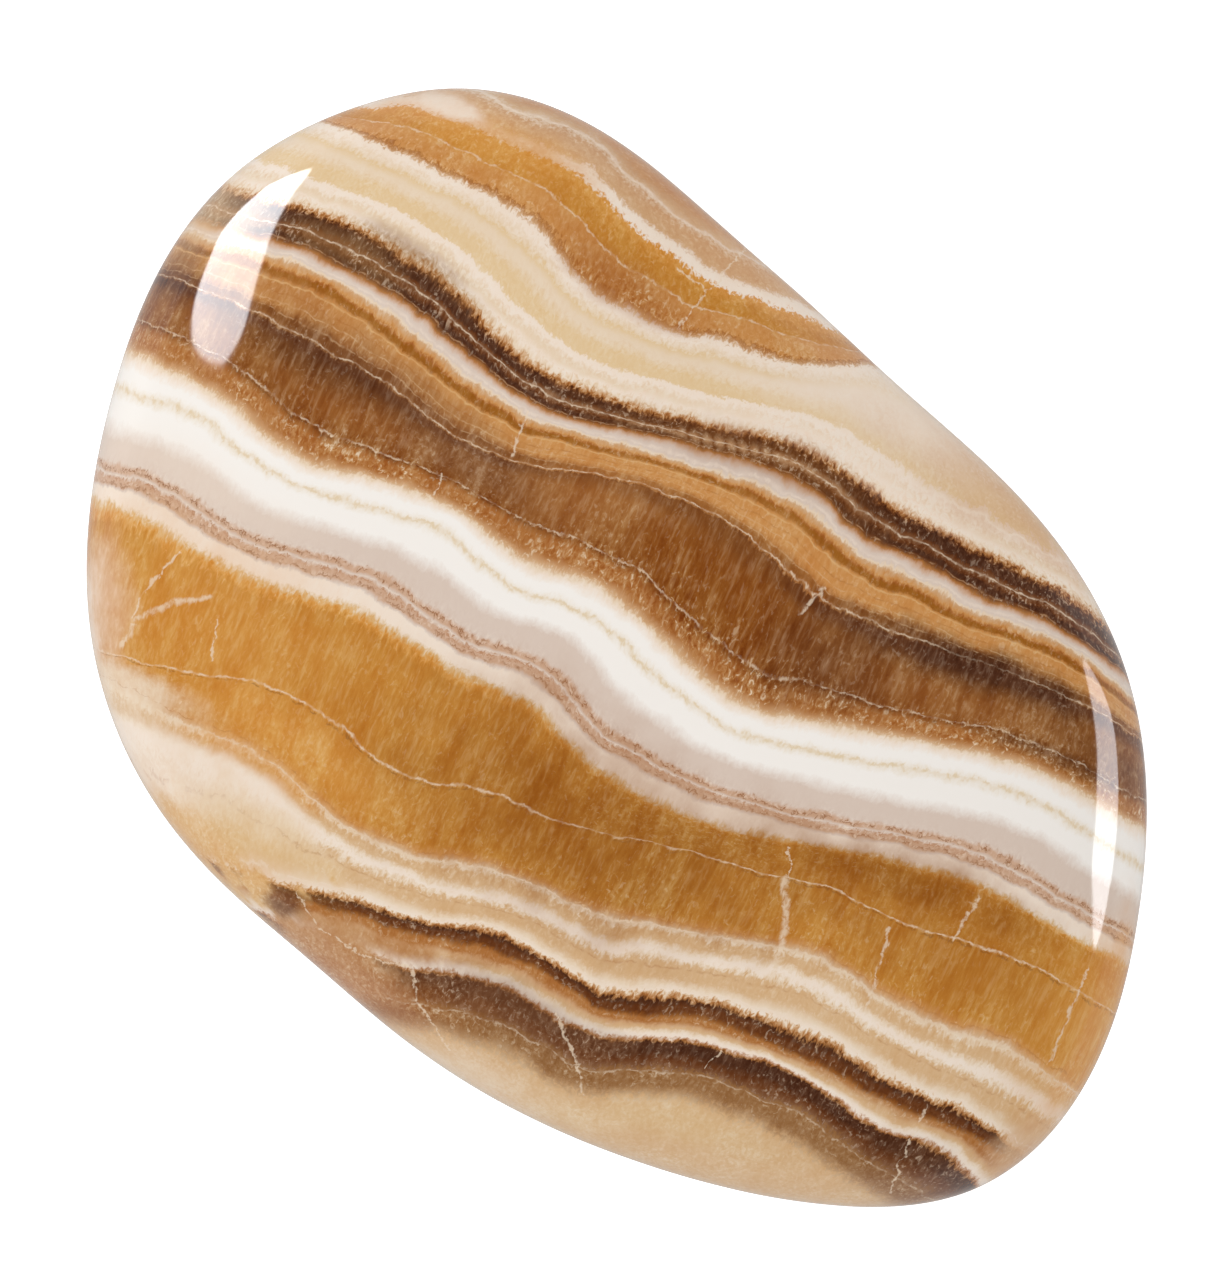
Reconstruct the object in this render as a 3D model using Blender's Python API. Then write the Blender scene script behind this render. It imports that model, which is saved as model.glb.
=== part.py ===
"""A tumbled and polished pebble of banded aragonite, lying on its worn underside.

The stone is one piece. Its plan is a rounded, slightly skewed oblong with two
long sides that run nearly straight, and its section is a full pillow: nearly
flat on top, and rounding over quickly to a waist that sits a little above the
middle. The origin is under the middle of the plan, on the surface that the
stone rests on. +X runs along the stone and +Z points up. All lengths are in
metres.
"""

import math

import bmesh
import bpy
import numpy as np
from mathutils import Vector

MM = 0.001

# Driving dimensions
LENGTH = 48.0 * MM
WIDTH = 32.0 * MM
THICKNESS = 15.0 * MM
WAIST_HEIGHT = 8.2 * MM

# The foot is worn flat, which takes this much off the underside
FOOT_WEAR = 0.25 * MM

# How square the section is above and below the waist: 2 is an ellipse
CROWN_FULLNESS = 2.6
BELLY_FULLNESS = 2.35

# The plan seen from above: bearing from +X in degrees, and reach from the middle in millimetres
PLAN = (
    (0, 23.9),
    (20, 22.0),
    (44, 19.8),
    (68, 17.2),
    (90, 15.7),
    (108, 16.3),
    (124, 18.3),
    (136, 21.0),
    (148, 23.2),
    (160, 24.0),
    (172, 24.1),
    (182, 23.4),
    (194, 22.1),
    (220, 20.0),
    (244, 17.7),
    (266, 15.8),
    (286, 15.9),
    (306, 17.1),
    (324, 19.2),
    (338, 21.7),
    (350, 23.7),
)

# Slow swells left by tumbling: how many round the stone, share of the height, turn in degrees
SWELLS = (
    (1, 0.040, 200.0),
    (2, 0.030, 35.0),
    (3, 0.015, 110.0),
)

# Brings the swells to their full height at their crest, about three quarters of the way out
SWELL_CREST = 5.4

# Squares along each edge of the cube that is rounded into the stone
SQUARES = 24

# Aragonite in the hand: warm honey brown with a high polish
HONEY_BROWN = (0.44, 0.23, 0.09, 1.0)
POLISH_ROUGHNESS = 0.16


def smooth_round(stations):
    """Slopes of the smooth closed curve through (bearing, reach) stations."""
    count = len(stations)
    bearing = np.radians([station[0] for station in stations])
    reach = np.array([station[1] for station in stations])
    gap = np.diff(np.append(bearing, bearing[0] + 2 * math.pi))
    rise = (np.roll(reach, -1) - reach) / gap
    system = np.zeros((count, count))
    target = np.zeros(count)
    for here in range(count):
        before = here - 1
        after = (here + 1) % count
        system[here, before] = 1 / gap[before]
        system[here, here] = 2 / gap[before] + 2 / gap[here]
        system[here, after] = 1 / gap[here]
        target[here] = 3 * (rise[before] / gap[before] + rise[here] / gap[here])
    return bearing, reach, gap, np.linalg.solve(system, target)


PLAN_CURVE = smooth_round(PLAN)


def plan_reach(angle):
    """How far the plan reaches from the middle at this bearing, in metres."""
    bearing, reach, gap, slope = PLAN_CURVE
    angle = angle % (2 * math.pi)
    here = int(np.searchsorted(bearing, angle, side="right")) - 1
    after = (here + 1) % len(reach)
    share = (angle - bearing[here]) / gap[here]
    start = (1 + 2 * share) * (1 - share) ** 2
    end = share**2 * (3 - 2 * share)
    leave = share * (1 - share) ** 2 * gap[here]
    arrive = share**2 * (share - 1) * gap[here]
    across = start * reach[here] + end * reach[after]
    return (across + leave * slope[here] + arrive * slope[after]) * MM


def swell(point, plan_share):
    """The share by which the skin swells up or down here. It fades out at the middle and at the rim."""
    angle = math.atan2(point.y, point.x)
    total = sum(
        height * math.cos(count * angle + math.radians(turn))
        for count, height, turn in SWELLS
    )
    return total * SWELL_CREST * plan_share**3 * (1 - plan_share**2)


def skin_point(direction):
    """The point of the pebble's skin along this direction of a unit sphere, from the waist's middle."""
    crown = THICKNESS - WAIST_HEIGHT
    belly = WAIST_HEIGHT + FOOT_WEAR
    half_height = crown if direction.z >= 0 else belly
    fullness = CROWN_FULLNESS if direction.z >= 0 else BELLY_FULLNESS
    point = Vector((direction.x * LENGTH / 2, direction.y * WIDTH / 2, direction.z * half_height))
    reach = plan_reach(math.atan2(point.y, point.x))
    plan_share = math.hypot(point.x, point.y) / reach
    height_share = abs(point.z) / half_height
    push = (plan_share**fullness + height_share**fullness) ** (-1 / fullness)
    point *= push
    point.z *= 1 + swell(point, min(1.0, plan_share * push))
    return point


def sphere_of_squares():
    """A cube cut into even squares, its points thrown onto a unit sphere."""
    mesh = bmesh.new()
    bmesh.ops.create_cube(mesh, size=2.0)
    bmesh.ops.subdivide_edges(mesh, edges=mesh.edges[:], cuts=SQUARES - 1, use_grid_fill=True)
    for vertex in mesh.verts:
        evened = [math.tan(value * math.pi / 4) for value in vertex.co]
        vertex.co = Vector(evened).normalized()
    return mesh


def fit_to_plan(mesh):
    """Centres the stone over the origin and brings its plan to the driving length and width."""
    for axis, size in ((0, LENGTH), (1, WIDTH)):
        low = min(vertex.co[axis] for vertex in mesh.verts)
        high = max(vertex.co[axis] for vertex in mesh.verts)
        for vertex in mesh.verts:
            vertex.co[axis] = (vertex.co[axis] - (low + high) / 2) * size / (high - low)


def fit_to_height(mesh):
    """Brings the crown to the driving thickness, and wears the underside flat at the ground."""
    top = max(vertex.co.z for vertex in mesh.verts)
    crown = THICKNESS - WAIST_HEIGHT
    for vertex in mesh.verts:
        if vertex.co.z > 0:
            vertex.co.z *= crown / top
        vertex.co.z = max(0.0, vertex.co.z + WAIST_HEIGHT)


def polished_stone():
    """The stone's own warm brown under a high polish."""
    material = bpy.data.materials.new("polished_aragonite")
    material.use_nodes = True
    shader = material.node_tree.nodes["Principled BSDF"]
    shader.inputs["Base Color"].default_value = HONEY_BROWN
    shader.inputs["Roughness"].default_value = POLISH_ROUGHNESS
    shader.inputs["Metallic"].default_value = 0.0
    material.diffuse_color = HONEY_BROWN
    return material


def clear_scene():
    """Removes whatever objects the file starts with."""
    for thing in list(bpy.data.objects):
        bpy.data.objects.remove(thing)


def aragonite_pebble():
    """The whole stone, as one closed solid."""
    shape = sphere_of_squares()
    for vertex in shape.verts:
        vertex.co = skin_point(vertex.co.copy())
    fit_to_plan(shape)
    fit_to_height(shape)
    bmesh.ops.recalc_face_normals(shape, faces=shape.faces[:])
    mesh = bpy.data.meshes.new("aragonite_pebble")
    shape.to_mesh(mesh)
    shape.free()
    mesh.materials.append(polished_stone())
    mesh.shade_smooth()
    pebble = bpy.data.objects.new("aragonite_pebble", mesh)
    bpy.context.scene.collection.objects.link(pebble)
    return pebble


clear_scene()
aragonite_pebble()
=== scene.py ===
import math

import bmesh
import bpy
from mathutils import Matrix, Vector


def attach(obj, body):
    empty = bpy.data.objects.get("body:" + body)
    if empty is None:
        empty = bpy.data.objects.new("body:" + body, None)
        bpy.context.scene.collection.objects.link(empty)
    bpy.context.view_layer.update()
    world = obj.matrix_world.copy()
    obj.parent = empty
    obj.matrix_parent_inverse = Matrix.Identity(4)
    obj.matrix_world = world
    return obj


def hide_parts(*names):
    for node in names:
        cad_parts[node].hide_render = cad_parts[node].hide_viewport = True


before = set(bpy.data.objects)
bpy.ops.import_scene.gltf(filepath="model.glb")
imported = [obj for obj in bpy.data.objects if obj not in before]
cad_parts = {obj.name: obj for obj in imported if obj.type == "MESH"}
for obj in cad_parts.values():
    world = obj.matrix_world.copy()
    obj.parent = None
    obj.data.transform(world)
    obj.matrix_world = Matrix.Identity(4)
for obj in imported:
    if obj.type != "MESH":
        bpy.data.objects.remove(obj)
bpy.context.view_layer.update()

# A polished pebble of banded aragonite, seen from above on a white studio floor.
#
# The stone's solid comes from the frame. This file gives it its finished skin, the wavy
# growth layers that run through it, and its polish. Lengths in the tables below are in
# millimetres. "Along" runs along the bands and "across" runs across them. "Level" is a
# point's place in the pile of layers: it stays the same all along one growth line,
# however that line waves.

bl_info = {
    "name": "Banded aragonite pebble",
    "version": (1, 0, 0),
    "blender": (4, 5, 0),
    "location": "3D View > Sidebar > Aragonite",
    "description": "Gives a pebble its banded aragonite skin and sets it in a white studio",
    "category": "Add Mesh",
}

MM = 0.001
STONE_NODE = "aragonite_pebble"

# The sensor's long side, which takes the photograph's height
SENSOR = 36.0

# Half the span, along and across, that the growth lines are drawn over
SPAN = 25.0

# The growth lines, from the upper edge of the face to the lower: a line's level, and its
# crests, troughs and turns as (along, across)
GROWTH_LINES = (
    ("upper amber, top", 16.4, (
        (-25, 15.4), (-18, 15.9), (-16, 16.8), (-14, 17.0), (-12, 16.9), (-9, 17.0), (-8, 16.6),
        (-6, 15.9), (-4, 15.5), (-2.8, 15.3), (0, 15.5), (2, 15.6), (4, 15.8), (7, 16.3), (25, 16.6))),
    ("upper amber, bottom", 14.3, (
        (-25, 14.6), (-20, 15.0), (-14, 15.0), (-10, 14.7), (-9, 14.3), (-8, 13.7), (-7, 13.3),
        (-4, 13.0), (-3, 13.0), (-2, 13.4), (0, 13.6), (1.5, 13.9), (3, 14.6), (4, 15.1), (7, 15.8),
        (25, 16.1))),
    ("straw, bottom", 11.6, (
        (-25, 12.0), (-20, 12.5), (-16, 12.75), (-14, 12.7), (-12, 12.4), (-10, 11.7), (-8, 11.0),
        (-6, 10.6), (-4, 10.8), (-2, 11.1), (0, 11.5), (2, 11.95), (4, 12.1), (6, 11.7), (7.5, 11.35),
        (10, 11.2), (14, 11.0), (18, 10.5), (25, 10.0))),
    ("upper dark, top", 10.3, (
        (-25, 10.5), (-20, 11.0), (-18, 11.3), (-16, 11.5), (-14, 11.2), (-12, 10.9), (-10, 10.1),
        (-8, 9.5), (-6, 9.35), (-4, 9.5), (-2, 9.8), (0, 10.2), (3, 10.75), (5, 10.5), (6.5, 10.15),
        (10, 10.0), (14, 9.8), (16, 9.45), (18, 8.6), (20, 7.7), (25, 6.6))),
    ("white stripe, top", 9.2, (
        (-25, 9.5), (-21, 9.7), (-18, 10.1), (-16, 10.15), (-14, 10.05), (-12, 9.6), (-10, 9.0),
        (-8, 8.5), (-7, 8.35), (-6, 8.4), (-4, 8.75), (-2, 9.2), (0, 9.5), (3, 9.75), (4.5, 9.55),
        (6, 8.95), (9, 8.9), (11, 8.6), (14, 8.75), (16, 8.5), (18, 8.05), (20, 7.3), (25, 6.1))),
    ("white stripe, bottom", 8.7, (
        (-25, 8.9), (-21, 9.1), (-18, 9.55), (-15, 9.6), (-14, 9.4), (-12, 8.9), (-10, 8.35), (-8, 8.0),
        (-7, 7.85), (-6, 7.95), (-4, 8.2), (-2, 8.5), (0, 8.74), (3, 9.05), (4.5, 8.85), (6, 8.35),
        (7.5, 8.15), (9, 8.25), (11, 8.0), (14, 8.25), (16, 8.05), (18, 7.6), (20, 6.9), (25, 5.7))),
    ("thread in the brown", 6.7, (
        (-25, 6.9), (-18, 7.25), (-14, 6.95), (-12, 6.7), (-10, 6.1), (-8, 6.0), (-6, 6.25), (-4, 6.85),
        (-1, 7.35), (1, 7.3), (3, 6.9), (6, 6.0), (8, 6.0), (12, 6.3), (16, 6.5), (20, 6.0), (25, 4.9))),
    ("brown, bottom", 4.1, (
        (-25, 5.0), (-19, 5.2), (-16, 4.65), (-15, 4.3), (-12, 4.3), (-9, 4.5), (-6, 4.25), (-1, 4.2),
        (1, 3.6), (3, 2.9), (5, 2.6), (7, 2.95), (10, 3.35), (14, 4.2), (16, 4.35), (20, 4.1), (25, 3.4))),
    ("white, top", 2.8, (
        (-25, 3.6), (-20, 3.9), (-18, 3.75), (-16, 3.2), (-13.5, 2.85), (-12, 3.2), (-9, 3.55), (-7, 3.3),
        (-5, 2.8), (-2, 3.0), (0, 2.5), (2, 1.85), (4, 1.25), (5, 1.15), (7, 1.6), (10, 2.3), (14, 3.2),
        (16, 3.45), (20, 3.1), (25, 2.5))),
    ("gold thread in the white", 1.8, (
        (-25, 2.4), (-20, 2.7), (-18, 2.75), (-16, 2.2), (-14, 1.95), (-12, 2.15), (-10, 2.45),
        (-8, 2.65), (-6.5, 2.15), (-5, 1.75), (-3, 1.95), (-2, 1.95), (0, 1.45), (1, 1.0), (3, 0.5),
        (5, 0.2), (7, 0.55), (10, 1.15), (12, 1.75), (16, 2.4), (20, 1.9), (25, 1.3))),
    ("white, bottom", 0.4, (
        (-25, 0.7), (-21, 0.85), (-18.5, 1.15), (-16, 0.75), (-14.5, 0.6), (-12, 0.85), (-9.5, 1.1),
        (-7.5, 1.0), (-5.5, 0.5), (-4, 0.7), (-2, 0.7), (-1, 0.35), (0.5, -0.5), (2, -0.75), (5, -1.0),
        (8, -0.55), (10, -0.2), (13, 0.5), (16, 1.05), (20, 0.6), (25, 0.1))),
    ("fine lines, top", -0.7, (
        (-25, -0.4), (-21, -0.25), (-19, 0.0), (-17, -0.2), (-15, -0.5), (-13, -0.35), (-11, 0.05),
        (-9, 0.05), (-7, -0.45), (-5.5, -0.6), (-3.5, -0.35), (-2, -0.55), (-1, -1.0), (0, -1.6),
        (2, -1.9), (4.5, -2.0), (7, -1.75), (10, -1.2), (13, -0.45), (16, 0.0), (18, -0.3), (25, -0.8))),
    ("fine lines, bottom", -1.4, (
        (-25, -1.1), (-21, -0.95), (-19, -0.65), (-17, -0.95), (-14.5, -1.1), (-12, -0.8), (-10, -0.65),
        (-8, -0.85), (-6, -1.2), (-3.5, -1.0), (-2, -1.15), (-1, -1.6), (0, -2.2), (2, -2.42),
        (4.5, -2.5), (7, -2.24), (10, -1.7), (13, -0.95), (16, -0.65), (19, -0.9), (25, -1.4))),
    ("amber, top", -2.1, (
        (-25, -2.0), (-19, -1.6), (-16, -1.85), (-14, -1.95), (-12, -1.7), (-10, -1.35), (-8, -1.6),
        (-5, -1.95), (-3, -1.9), (-2, -2.1), (0, -3.02), (2, -3.4), (4.5, -3.48), (7, -3.12), (10, -2.34),
        (13, -1.7), (16, -1.4), (20, -1.7), (25, -2.1))),
    ("stitched line in the amber", -5.2, (
        (-25, -7.3), (-20, -7.0), (-16, -6.5), (-14, -5.95), (-12.5, -5.5), (-10, -5.45), (-8, -5.85),
        (-6.5, -6.3), (-5, -6.3), (-3, -5.7), (0, -5.55), (2, -5.3), (4, -4.8), (6, -4.45), (8.5, -4.1),
        (10.5, -3.65), (12, -3.75), (14, -3.75), (18, -3.3), (20, -3.4), (25, -4.2))),
    ("amber, bottom", -7.6, (
        (-25, -8.4), (-18, -7.6), (-14, -7.7), (-12, -7.6), (-10, -7.9), (-8, -8.6), (-6.5, -8.85),
        (-4, -8.7), (-2, -8.2), (0, -8.0), (3, -7.95), (5, -7.45), (8, -6.8), (10, -6.25), (12, -6.15),
        (14, -6.5), (16, -6.6), (19, -6.35), (21, -6.6), (25, -7.4))),
    ("white line in the tan", -8.7, (
        (-25, -9.5), (-14, -9.0), (-11, -8.9), (-8, -9.6), (-5, -9.85), (-3, -9.65), (-1, -9.2),
        (1, -9.0), (4, -9.1), (5, -8.65), (8, -7.95), (10, -7.4), (12, -7.35), (15, -7.8), (20, -7.75),
        (25, -8.6))),
    ("lower dark stripe, top", -10.2, (
        (-25, -12.6), (-8, -12.0), (-6, -11.5), (-3, -11.1), (-1, -10.5), (1, -10.35), (3, -10.6),
        (4, -10.75), (6, -10.1), (8, -9.5), (10, -9.15), (12, -8.95), (14, -9.15), (16, -9.35),
        (19, -9.4), (21, -9.9), (25, -11.0))),
    ("lower dark stripe, bottom", -10.9, (
        (-25, -13.2), (-8, -12.4), (-6, -12.05), (-3, -11.7), (-1, -11.2), (1, -10.95), (3, -11.15),
        (4.5, -11.35), (6, -11.0), (8, -10.2), (10, -10.0), (13, -10.0), (16, -10.2), (20, -10.2),
        (25, -11.8))),
    ("lowest dark, top", -12.0, (
        (-25, -14.2), (-8, -13.4), (-6, -13.2), (-3, -13.05), (-1, -12.5), (1, -12.1), (3, -12.4),
        (4.5, -12.4), (6, -12.0), (8, -11.2), (10, -10.8), (13, -10.75), (15, -11.1), (16, -11.25),
        (18, -11.05), (19, -11.2), (21, -12.1), (25, -13.2))),
    ("lowest dark, bottom", -13.3, (
        (-25, -15.5), (-4, -14.6), (0, -13.7), (2, -13.5), (5, -13.7), (7, -12.9), (9, -12.2),
        (11, -12.05), (13, -12.05), (15, -12.4), (17, -12.75), (20, -13.2), (25, -14.6))),
)

# The bands, from the top level to the bottom: where a colour starts, its name, where it
# ends, and the name of the colour that it ends in. The lower rows are set lighter than the stone's own
# colours. This is painted light that makes up for the shade on the stone's lower side, which turns away
# from the key lamp.
BANDS = (
    (19.5, "copper", 18.4, "copper"),
    (18.1, "sand", 17.9, "cream"),
    (17.6, "tan", 17.0, "tan"),
    (16.8, "milk", 16.5, "milk"),
    (16.38, "gold_amber", 15.9, "amber"),
    (15.45, "amber", 15.3, "copper"),
    (15.0, "copper", 14.6, "copper"),
    (14.45, "fawn", 14.3, "tan"),
    (14.15, "milk", 13.95, "milk"),
    (13.6, "cream", 13.4, "straw"),
    (13.1, "cream", 12.85, "cream"),
    (12.4, "straw", 11.85, "straw"),
    (11.75, "milk", 11.55, "milk"),
    (11.3, "cream", 11.15, "cream"),
    (10.98, "milk", 10.76, "cream"),
    (10.62, "tan", 10.52, "fawn"),
    (10.4, "umber", 10.28, "bark"),
    (10.02, "bark", 9.94, "umber"),
    (9.86, "smoke", 9.76, "smoke"),
    (9.66, "umber", 9.52, "bark"),
    (9.42, "bark", 9.32, "umber"),
    (9.18, "fawn", 9.08, "rose"),
    (8.96, "lilac", 8.8, "lilac"),
    (8.7, "cream", 8.6, "tan"),
    (8.42, "copper", 8.3, "rust"),
    (8.24, "ember", 8.08, "ember"),
    (7.98, "copper", 7.5, "copper"),
    (7.3, "copper", 7.12, "fawn"),
    (7.0, "russet", 6.85, "russet"),
    (6.7, "fawn", 6.62, "umber"),
    (6.4, "umber", 6.0, "russet"),
    (5.2, "russet", 4.2, "russet"),
    (4.05, "russet", 3.75, "fawn"),
    (3.25, "fawn", 2.96, "tan"),
    (2.8, "cream", 2.66, "milk"),
    (2.35, "chalk", 0.85, "chalk"),
    (0.28, "lilac", -0.5, "lilac"),
    (-0.66, "rose", -0.85, "rose"),
    (-0.95, "lilac", -1.1, "rose"),
    (-1.25, "rose", -1.38, "rose"),
    (-1.48, "lilac", -1.56, "milk"),
    (-1.9, "milk", -2.0, "cream"),
    (-2.14, "honey", -2.3, "gold_amber"),
    (-2.5, "amber", -7.3, "amber"),
    (-7.55, "copper", -7.7, "tan"),
    (-7.86, "cream", -8.05, "sand"),
    (-8.35, "sand", -8.52, "cream"),
    (-8.66, "milk", -8.8, "milk"),
    (-8.94, "cream", -9.1, "sand"),
    (-9.3, "sand", -9.6, "sand"),
    (-9.88, "cream", -10.1, "milk"),
    (-10.14, "cream", -10.22, "tan"),
    (-10.32, "fawn", -10.44, "bark"),
    (-10.64, "umber", -10.78, "umber"),
    (-10.9, "russet", -11.02, "fawn"),
    (-11.2, "fawn", -11.36, "tan"),
    (-11.5, "sand", -11.62, "cream"),
    (-11.74, "milk", -11.86, "milk"),
    (-11.94, "rose", -12.02, "fawn"),
    (-12.14, "bark", -12.5, "bark"),
    (-12.85, "umber", -13.05, "smoke"),
    (-13.25, "ash", -13.9, "ash"),
    (-14.5, "sand", -16.0, "sand"),
    (-17.0, "sand", -19.5, "tan"),
)

# Fine lines drawn over the bands: level, half width, colour, how broken, strength, and how
# far the grain moves them
THREADS = (
    (17.9, 0.09, "milk", 0.5, 0.6, 0.03),
    (15.4, 0.06, "cream", 0.8, 0.6, 0.04),
    (11.68, 0.06, "milk", 0.5, 0.5, 0.03),
    (9.82, 0.05, "cream", 0.7, 0.75, 0.03),
    (9.34, 0.04, "tan", 0.9, 0.5, 0.03),
    (8.86, 0.08, "milk", 0.5, 0.5, 0.04),
    (7.94, 0.05, "honey", 0.5, 0.7, 0.02),
    (7.62, 0.05, "rust", 0.7, 0.5, 0.03),
    (7.36, 0.04, "sand", 0.8, 0.5, 0.02),
    (7.06, 0.04, "sand", 0.9, 0.4, 0.02),
    (6.74, 0.05, "cream", 0.75, 0.7, 0.04),
    (6.62, 0.05, "umber", 0.9, 0.5, 0.05),
    (4.14, 0.06, "cream", 0.85, 0.6, 0.06),
    (4.04, 0.06, "bark", 0.95, 0.4, 0.06),
    (1.78, 0.36, "gold", 0.3, 0.42, 0.08),
    (1.8, 0.14, "gold", 0.7, 0.6, 0.12),
    (-0.74, 0.09, "russet", 1.0, 0.8, 0.20),
    (-0.98, 0.04, "milk", 1.0, 0.45, 0.05),
    (-1.12, 0.07, "rust", 1.0, 0.6, 0.20),
    (-1.33, 0.08, "russet", 1.0, 0.6, 0.14),
    (-5.2, 0.07, "cream", 0.7, 0.75, 0.04),
    (-5.32, 0.06, "umber", 0.9, 0.45, 0.06),
    (-7.80, 0.06, "cream", 0.75, 0.6, 0.05),
    (-7.56, 0.05, "fawn", 0.9, 0.5, 0.05),
    (-9.22, 0.06, "fawn", 0.9, 0.4, 0.06),
    (-9.96, 0.05, "milk", 0.8, 0.4, 0.04),
    (-13.3, 0.05, "cream", 0.9, 0.45, 0.05),
)

# Clouds of another colour inside the bands, among them a few patches of painted shade and painted
# reflection near the rim: along, level, half length, half height, colour, strength, how soft the edge is,
# and how square the cloud is where it isn't an ellipse
CLOUDS = (
    (-15.0, 6.1, 4.3, 0.75, "bark", 0.6, 0.7),
    (-18.0, 7.1, 3.4, 0.7, "bark", 0.15, 0.7),
    (-11.5, 7.2, 4.5, 0.6, "smoke", 0.5, 0.7),
    (-16.8, 7.8, 2.6, 0.35, "fawn", 0.65, 0.8),
    (-8.0, 5.6, 3.4, 1.1, "smoke", 0.55, 0.7),
    (-12.8, 5.2, 2.6, 0.7, "rust", 0.30, 0.8),
    (-3.4, 5.8, 2.7, 1.4, "fawn", 0.55, 0.7),
    (2.0, 5.0, 4.4, 1.2, "resin", 0.85, 0.6),
    (1.6, 6.5, 3.2, 0.4, "russet", 0.6, 0.8),
    (0.5, 7.5, 5.5, 0.5, "copper", 0.8, 0.7),
    (7.2, 4.9, 2.2, 1.3, "umber", 0.75, 0.8),
    (12.6, 6.5, 4.8, 0.8, "bark", 0.95, 0.6),
    (15.8, 5.4, 3.0, 0.7, "bark", 0.2, 0.8),
    (18.4, 4.9, 2.4, 0.7, "bark", 0.4, 0.8),
    (12.5, 4.9, 4.5, 0.7, "fawn", 0.3, 0.8),
    (-21.4, 7.0, 1.2, 1.2, "bark", 0.5, 0.6),
    (16.5, 3.9, 3.0, 0.4, "bark", 0.6, 0.6),
    (-12.5, 16.3, 3.6, 0.9, "gold_amber", 0.8, 0.7),
    (-5.6, 14.8, 2.6, 0.6, "rust", 0.8, 0.8),
    (-14.6, 16.9, 1.3, 0.45, "milk", 0.8, 0.4),
    (-13.4, 10.8, 2.4, 0.35, "ash", 0.6, 0.7),
    (-15.8, 9.8, 2.2, 0.45, "ash", 0.5, 0.8),
    (6.0, 12.9, 5.0, 0.8, "milk", 0.9, 0.8),
    (5.0, 11.1, 6.0, 0.4, "milk", 0.75, 0.7),
    (13.0, 12.6, 6.0, 1.0, "tan", 0.6, 0.8),
    (14.5, 12.6, 5.0, 1.0, "copper", 0.35, 0.8),
    (1.0, 9.8, 5.0, 0.75, "russet", 0.5, 0.8),
    (0.0, 9.84, 5.5, 0.12, "tan", 0.65, 0.7),
    # Painted reflection: a pale sand patch where the dark bands meet the left rim, standing in for the
    # strip highlight and the rim's reflection there
    (-21.6, 9.6, 1.8, 1.2, "sand", 0.6, 0.6),
    (-4.2, -11.54, 3.4, 0.26, "fawn", 0.75, 0.4),
    (15.0, -11.3, 3.0, 0.25, "sand", 0.6, 0.6),
    (-12.0, -11.3, 2.6, 0.8, "honey", 0.35, 0.8),
    (2.6, -4.8, 7.6, 3.0, "ember", 0.85, 0.8),
    (12.8, -3.0, 5.0, 1.3, "ember", 0.90, 0.8),
    (15.5, -5.6, 4.0, 1.4, "ember", 0.35, 0.8),
    (-15.5, -4.0, 4.6, 2.0, "gold_amber", 0.5, 0.8),
    (-10.5, -6.6, 4.5, 1.1, "gold_amber", 0.75, 0.8),
    (-20.0, -5.7, 1.8, 2.0, "milk", 0.95, 0.7),
    (-17.8, -7.2, 3.4, 1.2, "cream", 0.85, 0.5),
    (-11.3, -8.05, 3.2, 0.4, "gold_amber", 0.55, 0.4),
    (-19.0, -16.0, 11.2, 6.3, "honey", 1.0, 0.05, 6),
    (-12.6, -9.8, 3.4, 0.5, "honey", 0.9, 0.5),
    (-12.0, -10.2, 4.5, 1.0, "gold_amber", 0.3, 0.7),
    (-17.5, 0.1, 4.0, 0.7, "milk", 0.35, 0.8),
    (-13.0, -8.9, 5.0, 0.6, "milk", 0.8, 0.4),
    (-9.6, -9.4, 3.0, 0.5, "straw", 0.6, 0.5),
    (-5.6, -12.9, 2.8, 1.4, "tan", 0.95, 0.3),
    (-6.3, -12.3, 2.6, 0.8, "fawn", 0.55, 0.5),
    (-8.0, -11.2, 0.7, 0.5, "umber", 0.85, 0.5),
    (1.6, -12.5, 4.0, 0.8, "smoke", 0.65, 0.7),
    (-4.4, -13.5, 3.6, 0.9, "rust", 0.55, 0.7),
    (-8.0, 18.4, 6.0, 0.9, "rust", 0.35, 0.7),
    (0.0, 17.8, 6.0, 0.7, "copper", 0.45, 0.7),
    (0.5, -15.5, 3.0, 0.7, "cream", 0.6, 0.8),
    (8.0, -15.2, 4.0, 0.7, "straw", 0.5, 0.8),
    (22.4, -5.0, 2.2, 4.0, "gold_amber", 0.75, 0.7),
    (22.4, -10.6, 2.0, 1.4, "tan", 0.9, 0.4),
    # Painted shade: a greyish dark patch along the lower right rim, where the stone's side turns away from
    # the light
    (18.0, -13.3, 2.4, 1.2, "smoke", 0.3, 0.7),
)

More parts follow.
